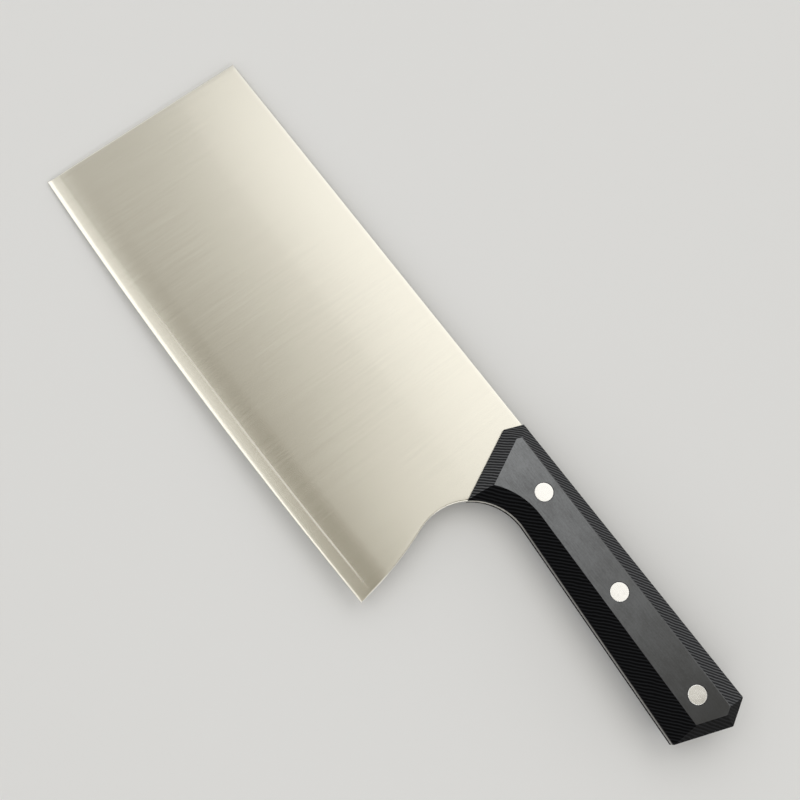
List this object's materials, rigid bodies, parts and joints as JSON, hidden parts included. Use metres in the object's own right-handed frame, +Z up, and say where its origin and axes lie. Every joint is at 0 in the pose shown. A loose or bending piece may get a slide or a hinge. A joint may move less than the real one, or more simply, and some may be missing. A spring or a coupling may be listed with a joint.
{
  "type": "cleaver",
  "caption": "Wide rectangular kitchen cleaver: ground steel blade with a full tang, bevelled black laminate handle scales and flush round rivets.",
  "frame": {"origin": "middle of the footprint on the table, with the cleaver lying on its right side", "axes": "+X from the blade's front to the butt, +Y from the cutting edge to the spine, +Z up from the table, out of the left face"},
  "size_m": [0.3192, 0.0914, 0.0226],
  "materials": {
    "blade_steel": "satin, brushed from edge to spine",
    "handle_laminate": "matt black woven laminate",
    "rivet_steel": "ground flush and polished"
  },
  "bodies": {
    "root": {"blade": "blade_steel", "scale_left": "handle_laminate", "scale_right": "handle_laminate", "rivet_tube_1": "rivet_steel", "rivet_pin_1": "rivet_steel", "rivet_tube_2": "rivet_steel", "rivet_pin_2": "rivet_steel", "rivet_tube_3": "rivet_steel", "rivet_pin_3": "rivet_steel"}
  },
  "joints": []
}
